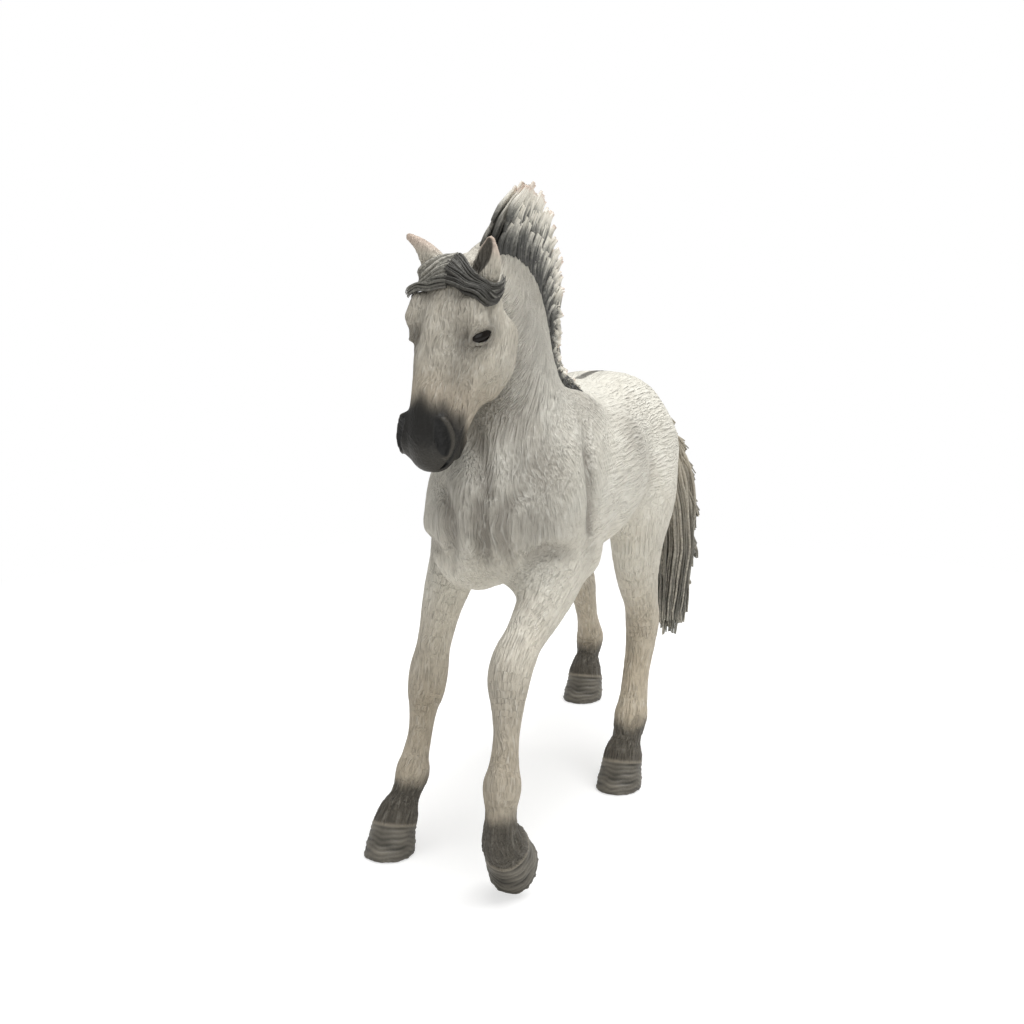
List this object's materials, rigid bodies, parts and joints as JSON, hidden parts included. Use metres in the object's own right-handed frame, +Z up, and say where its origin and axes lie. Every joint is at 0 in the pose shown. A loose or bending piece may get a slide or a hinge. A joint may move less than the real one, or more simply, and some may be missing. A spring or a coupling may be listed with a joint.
{
  "type": "toy horse figure",
  "caption": "Small solid vinyl toy horse in a prancing walk, with upright mane, parted forelock and long wavy tail.",
  "frame": {"origin": "on the ground under the middle of the figure's bounding box", "axes": "+X the way the horse walks, +Y to its left, +Z up"},
  "size_m": [0.1184, 0.0352, 0.1102],
  "materials": {
    "pale_coat": "hand-painted vinyl, warm white with grey brushed into the hair strokes",
    "coat": "hand-painted vinyl, pale grey with darker shading in the hollows",
    "face": "hand-painted vinyl, beige grey face, near-black muzzle and dark glossy eyes",
    "legs": "hand-painted vinyl, pale legs shading to charcoal pasterns and grey-brown hooves",
    "mane_hair": "hand-painted vinyl, dark grey roots and cream lock tips",
    "forelock_hair": "hand-painted vinyl, charcoal with pale dry brushing",
    "tail_hair": "hand-painted vinyl, grey brown, darker towards the end"
  },
  "bodies": {
    "root": {"body": "pale_coat", "neck": "coat", "head": "face", "left_foreleg": "legs", "right_foreleg": "legs", "left_hind_leg": "legs", "right_hind_leg": "legs", "mane": "mane_hair", "forelock": "forelock_hair", "tail": "tail_hair"}
  },
  "joints": []
}
